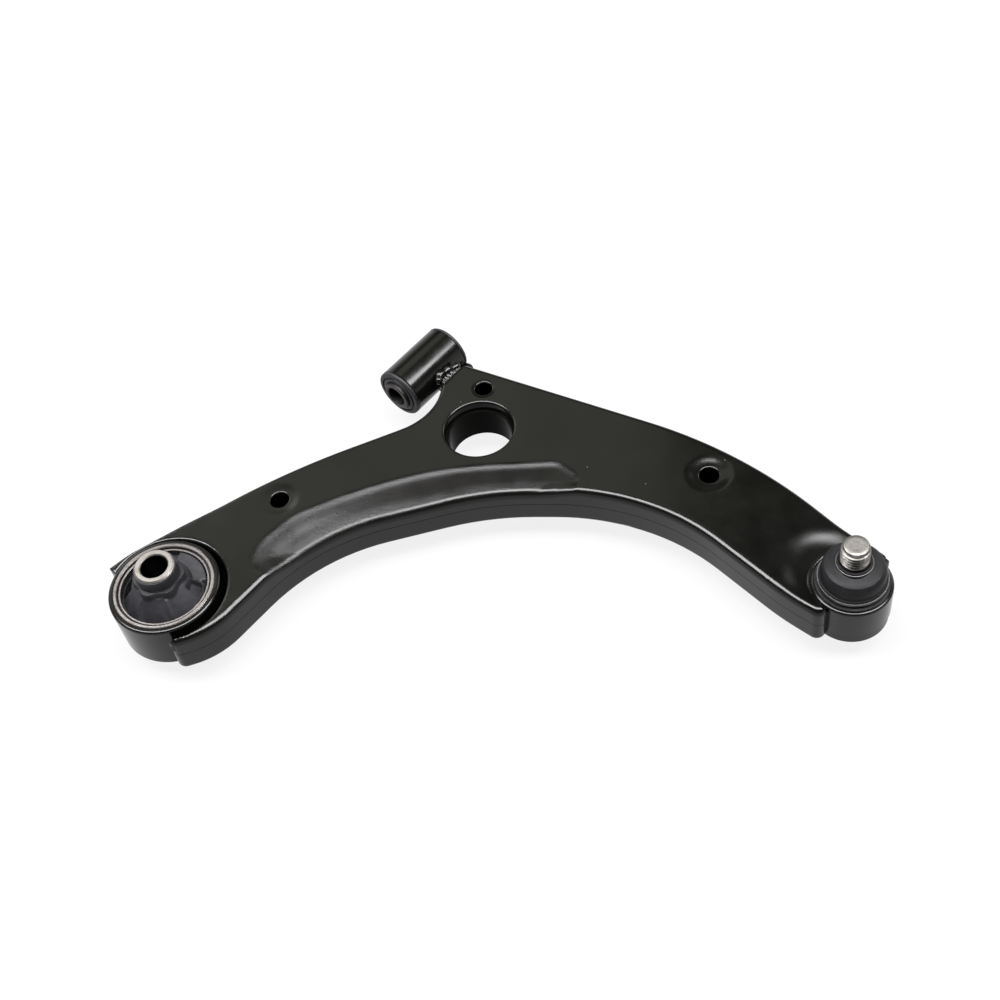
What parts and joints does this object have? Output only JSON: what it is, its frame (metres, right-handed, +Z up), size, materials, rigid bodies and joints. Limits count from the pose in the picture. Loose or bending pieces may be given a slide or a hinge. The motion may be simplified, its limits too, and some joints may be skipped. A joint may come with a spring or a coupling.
{
  "type": "front lower control arm",
  "caption": "Pressed-steel front lower control arm with an upright rear bush, a lying front bush in a cross tube and a booted ball joint with a threaded stud.",
  "frame": {"origin": "on the axis of the rear bush bore, level with the flat top face of the arm", "axes": "+Z up along the rear bush bore, towards the ball stud's threaded end; +X from the rear bush towards the ball joint, +Y towards the front bush"},
  "size_m": [0.4079, 0.2214, 0.0672],
  "materials": {
    "arm_paint": "semi-gloss black dip paint",
    "dark_steel": "black phosphated steel",
    "bare_steel": "turned bare steel",
    "stud_steel": "zinc-plated, threaded",
    "rubber": "moulded matt rubber",
    "seat_plastic": "acetal",
    "preload_rubber": "moulded rubber"
  },
  "bodies": {
    "arm": {"upper_shell": "arm_paint", "lower_shell": "arm_paint", "rear_bush_housing": "arm_paint", "front_bush_tube": "arm_paint", "ball_joint_collar": "arm_paint", "ball_collar_weld": "arm_paint", "rear_housing_weld": "arm_paint", "front_tube_weld": "arm_paint", "ball_joint_body": "dark_steel", "ball_joint_circlip": "dark_steel", "ball_joint_cover": "dark_steel", "rear_bush_outer_sleeve": "bare_steel", "rear_bush_liner": "bare_steel", "front_bush_outer_sleeve": "bare_steel", "boot_lower_ring": "bare_steel", "rear_bush_rubber": "rubber", "front_bush_rubber": "rubber", "upper_bearing_seat": "seat_plastic", "lower_bearing_seat": "seat_plastic", "preload_disc": "preload_rubber"},
    "rear_sleeve": {"rear_bush_inner_sleeve": "bare_steel"},
    "front_sleeve": {"front_bush_inner_sleeve": "bare_steel"},
    "boot": {"dust_boot": "rubber"},
    "stud_swivel": {"boot_upper_ring": "bare_steel"},
    "stud": {"ball_stud": "stud_steel"}
  },
  "joints": [
    {"name": "front_bush_swing", "type": "hinge", "parent": "arm", "child": "front_sleeve", "pos_m": [0.1207, 0.1585, -0.009], "axis": [0.5807, 0.8141, 0], "range_deg": [-25, 25], "stiffness_Nm_per_rad": 57},
    {"name": "rear_bush_tilt", "type": "hinge", "parent": "arm", "child": "rear_sleeve", "pos_m": [0, 0, -0.0135], "axis": [0.5807, 0.8141, 0], "range_deg": [-12, 12], "stiffness_Nm_per_rad": 120, "deforming": ["rear_bush_rubber"]},
    {"name": "ball_tilt_x", "type": "hinge", "parent": "arm", "child": "boot", "pos_m": [0.3544, 0.0014, -0.0125], "axis": [1, 0, 0], "range_deg": [-17, 17], "deforming": ["dust_boot"]},
    {"name": "ball_tilt_y", "type": "hinge", "parent": "boot", "child": "stud_swivel", "pos_m": [0.3544, 0.0014, -0.0125], "axis": [0, 1, 0], "range_deg": [-17, 17]},
    {"name": "ball_spin", "type": "hinge", "parent": "stud_swivel", "child": "stud", "pos_m": [0.3544, 0.0014, -0.0125], "axis": [0, 0, 1], "continuous": true}
  ]
}
